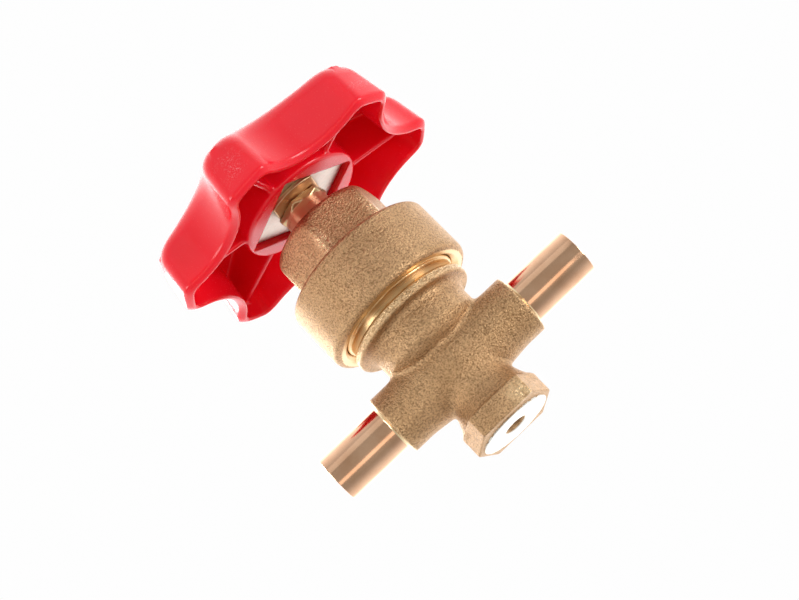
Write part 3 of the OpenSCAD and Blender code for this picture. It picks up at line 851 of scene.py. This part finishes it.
def floor():
    """A pale floor that only the camera sees, from above. Light and reflections pass through it."""
    mesh = bpy.data.meshes.new("floor")
    half = 3.0
    corners = [(-half, -half, 0), (half, -half, 0), (half, half, 0), (-half, half, 0)]
    mesh.from_pydata(corners, [], [(0, 1, 2, 3)])
    obj = link("floor", mesh)
    mat = bpy.data.materials.new("floor_look")
    mat.use_nodes = True
    tree = mat.node_tree
    tree.nodes.clear()
    out = tree.nodes.new("ShaderNodeOutputMaterial")
    pale = tree.nodes.new("ShaderNodeBsdfDiffuse")
    pale.inputs["Color"].default_value = (0.86, 0.86, 0.86, 1)
    clear = tree.nodes.new("ShaderNodeBsdfTransparent")
    side = tree.nodes.new("ShaderNodeNewGeometry")
    path = tree.nodes.new("ShaderNodeLightPath")
    unseen = tree.nodes.new("ShaderNodeMath")
    unseen.operation = "SUBTRACT"
    unseen.inputs[0].default_value = 1.0
    tree.links.new(path.outputs["Is Camera Ray"], unseen.inputs[1])
    either = tree.nodes.new("ShaderNodeMath")
    either.operation = "MAXIMUM"
    tree.links.new(side.outputs["Backfacing"], either.inputs[0])
    tree.links.new(unseen.outputs[0], either.inputs[1])
    both = tree.nodes.new("ShaderNodeMixShader")
    tree.links.new(either.outputs[0], both.inputs["Fac"])
    tree.links.new(pale.outputs[0], both.inputs[1])
    tree.links.new(clear.outputs[0], both.inputs[2])
    tree.links.new(both.outputs[0], out.inputs["Surface"])
    mesh.materials.append(mat)


# Where the camera stands, as turns of the object's own frame
VIEW_AZIMUTH, VIEW_ELEVATION, VIEW_ROLL = -2.54, -18.54, 44.34
VIEW_AIM = Vector((0.0004, -0.0116, 0.0374))
VIEW_DISTANCE = 0.3671
VIEW_LENS = 72.1


def view_axes():
    az, el, roll = (math.radians(v) for v in (VIEW_AZIMUTH, VIEW_ELEVATION, VIEW_ROLL))
    back = Vector((math.sin(az) * math.cos(el), -math.cos(az) * math.cos(el), math.sin(el)))
    right = (-back).cross(Vector((0, 0, 1))).normalized()
    up = right.cross(-back)
    turned_right = right * math.cos(roll) - up * math.sin(roll)
    turned_up = right * math.sin(roll) + up * math.cos(roll)
    return turned_right, turned_up, back


def camera():
    right, up, back = view_axes()
    data = bpy.data.cameras.new("camera")
    data.lens = VIEW_LENS
    data.sensor_width = 36
    data.clip_start = 0.01
    obj = bpy.data.objects.new("camera", data)
    bpy.context.scene.collection.objects.link(obj)
    turn = Matrix((right, up, back)).transposed().to_4x4()
    obj.matrix_world = Matrix.Translation(VIEW_AIM + back * VIEW_DISTANCE) @ turn
    bpy.context.scene.camera = obj


def softbox(name, azimuth, elevation, size, power, colour=(1, 1, 1)):
    """A soft light of the given width and height that faces the object, 0.6 m away."""
    az, el = math.radians(azimuth), math.radians(elevation)
    direction = Vector((math.sin(az) * math.cos(el), -math.cos(az) * math.cos(el), math.sin(el)))
    data = bpy.data.lights.new(name, "AREA")
    data.shape = "RECTANGLE"
    data.size, data.size_y = size
    data.energy = power
    data.color = colour
    obj = bpy.data.objects.new(name, data)
    bpy.context.scene.collection.objects.link(obj)
    obj.location = Vector((0, 0, 0.045)) + direction * 0.6
    obj.rotation_euler = direction.to_track_quat("Z", "Y").to_euler()
    obj.visible_camera = False


def world():
    """White all round, dimmer on the side the camera stands on, as in a light tent."""
    sky = bpy.data.worlds.new("tent")
    sky.use_nodes = True
    tree = sky.node_tree
    tree.nodes.clear()
    out = tree.nodes.new("ShaderNodeOutputWorld")
    place = tree.nodes.new("ShaderNodeTexCoord")
    _, _, back = view_axes()
    dot = tree.nodes.new("ShaderNodeVectorMath")
    dot.operation = "DOT_PRODUCT"
    dot.inputs[1].default_value = back
    tree.links.new(place.outputs["Generated"], dot.inputs[0])
    shade = ramp(tree, remap(tree, dot.outputs["Value"], -1, 1, 0, 1), [
        (0.0, (1.0, 1.0, 1.0)), (0.12, (0.93, 0.93, 0.93)), (0.21, (0.64, 0.64, 0.64)),
        (0.4, (0.48, 0.48, 0.48)), (0.55, (0.34, 0.34, 0.34)), (0.68, (0.22, 0.22, 0.22)),
        (0.8, (0.18, 0.18, 0.17)), (1.0, (0.22, 0.22, 0.21)),
    ])
    lit = tree.nodes.new("ShaderNodeBackground")
    tree.links.new(shade, lit.inputs["Color"])
    lit.inputs["Strength"].default_value = 2.2
    seen = tree.nodes.new("ShaderNodeBackground")
    seen.inputs["Color"].default_value = (0.99, 0.99, 0.99, 1)
    path = tree.nodes.new("ShaderNodeLightPath")
    both = tree.nodes.new("ShaderNodeMixShader")
    tree.links.new(path.outputs["Is Camera Ray"], both.inputs["Fac"])
    tree.links.new(lit.outputs[0], both.inputs[1])
    tree.links.new(seen.outputs[0], both.inputs[2])
    tree.links.new(both.outputs[0], out.inputs["Surface"])
    bpy.context.scene.world = sky


floor()
camera()
world()
softbox("key_left", -58, 8, (0.22, 0.36), 1.3)
softbox("key_right", 60, -20, (0.2, 0.35), 1.7)
softbox("low_front", -4, -40, (0.8, 0.16), 0.45, (1.0, 0.80, 0.68))
softbox("high_front", 0, 38, (0.8, 0.3), 0.3)
softbox("rim_left", -145, 23, (0.16, 0.16), 0.6)
bpy.context.scene.view_settings.view_transform = "Standard"

bpy.context.view_layer.update()
